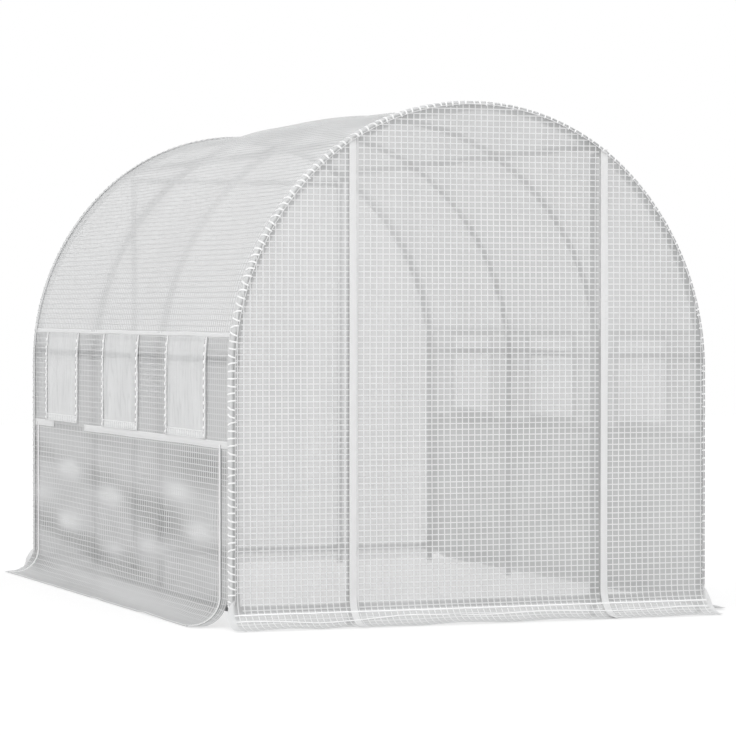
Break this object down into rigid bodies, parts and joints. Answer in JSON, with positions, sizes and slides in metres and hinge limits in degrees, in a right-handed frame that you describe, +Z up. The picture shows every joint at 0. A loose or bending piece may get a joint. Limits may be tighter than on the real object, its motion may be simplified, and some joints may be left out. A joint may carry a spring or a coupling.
{
  "type": "polytunnel greenhouse",
  "caption": "Walk-in garden tunnel of arched steel tubes under a translucent grid-reinforced film, with a zipped door, windows with flaps, roll-up sides and ground skirts.",
  "frame": {"origin": "on the ground at the centre of the plan, skirts included", "axes": "+Z up, +X to the right seen from the door end, +Y from the door end to the back wall"},
  "size_m": [2.29, 3.29, 2.0371],
  "materials": {
    "frame_tube": "galvanised tube, dull grey",
    "moulded_fitting": "moulded grey plastic",
    "cover_film": "translucent film with white reinforcing threads",
    "window_flap": "translucent film flap over fine white net",
    "cover_tape": "off-white woven tape",
    "zip_tape": "off-white zip tape with moulded coil"
  },
  "bodies": {
    "root": {"front_hoop": "frame_tube", "second_hoop": "frame_tube", "third_hoop": "frame_tube", "back_hoop": "frame_tube", "ridge_bars": "frame_tube", "upper_bars": "frame_tube", "side_bars": "frame_tube", "side_base_bars": "frame_tube", "end_base_bars": "frame_tube", "front_door_posts": "frame_tube", "back_wall_posts": "frame_tube", "back_header_bar": "frame_tube", "roof_fittings": "moulded_fitting", "side_fittings": "moulded_fitting", "post_fittings": "moulded_fitting", "ground_feet": "moulded_fitting", "left_roof_haunch": "cover_film", "left_roof_crown": "cover_film", "right_roof_crown": "cover_film", "right_roof_haunch": "cover_film", "left_window_wall": "cover_film", "right_window_wall": "cover_film", "left_window_flaps": "window_flap", "right_window_flaps": "window_flap", "left_rollup_panel": "cover_film", "right_rollup_panel": "cover_film", "left_wall_margins": "cover_film", "right_wall_margins": "cover_film", "left_wall_tapes": "cover_tape", "right_wall_tapes": "cover_tape", "left_panel_zips": "zip_tape", "right_panel_zips": "zip_tape", "left_skirt": "cover_film", "right_skirt": "cover_film", "front_skirt": "cover_film", "back_skirt": "cover_film", "front_left_panel": "cover_film", "door_panel": "cover_film", "front_right_panel": "cover_film", "door_zips": "zip_tape", "back_wall": "cover_film", "front_hem_band": "cover_film", "back_hem_band": "cover_film"}
  },
  "joints": []
}
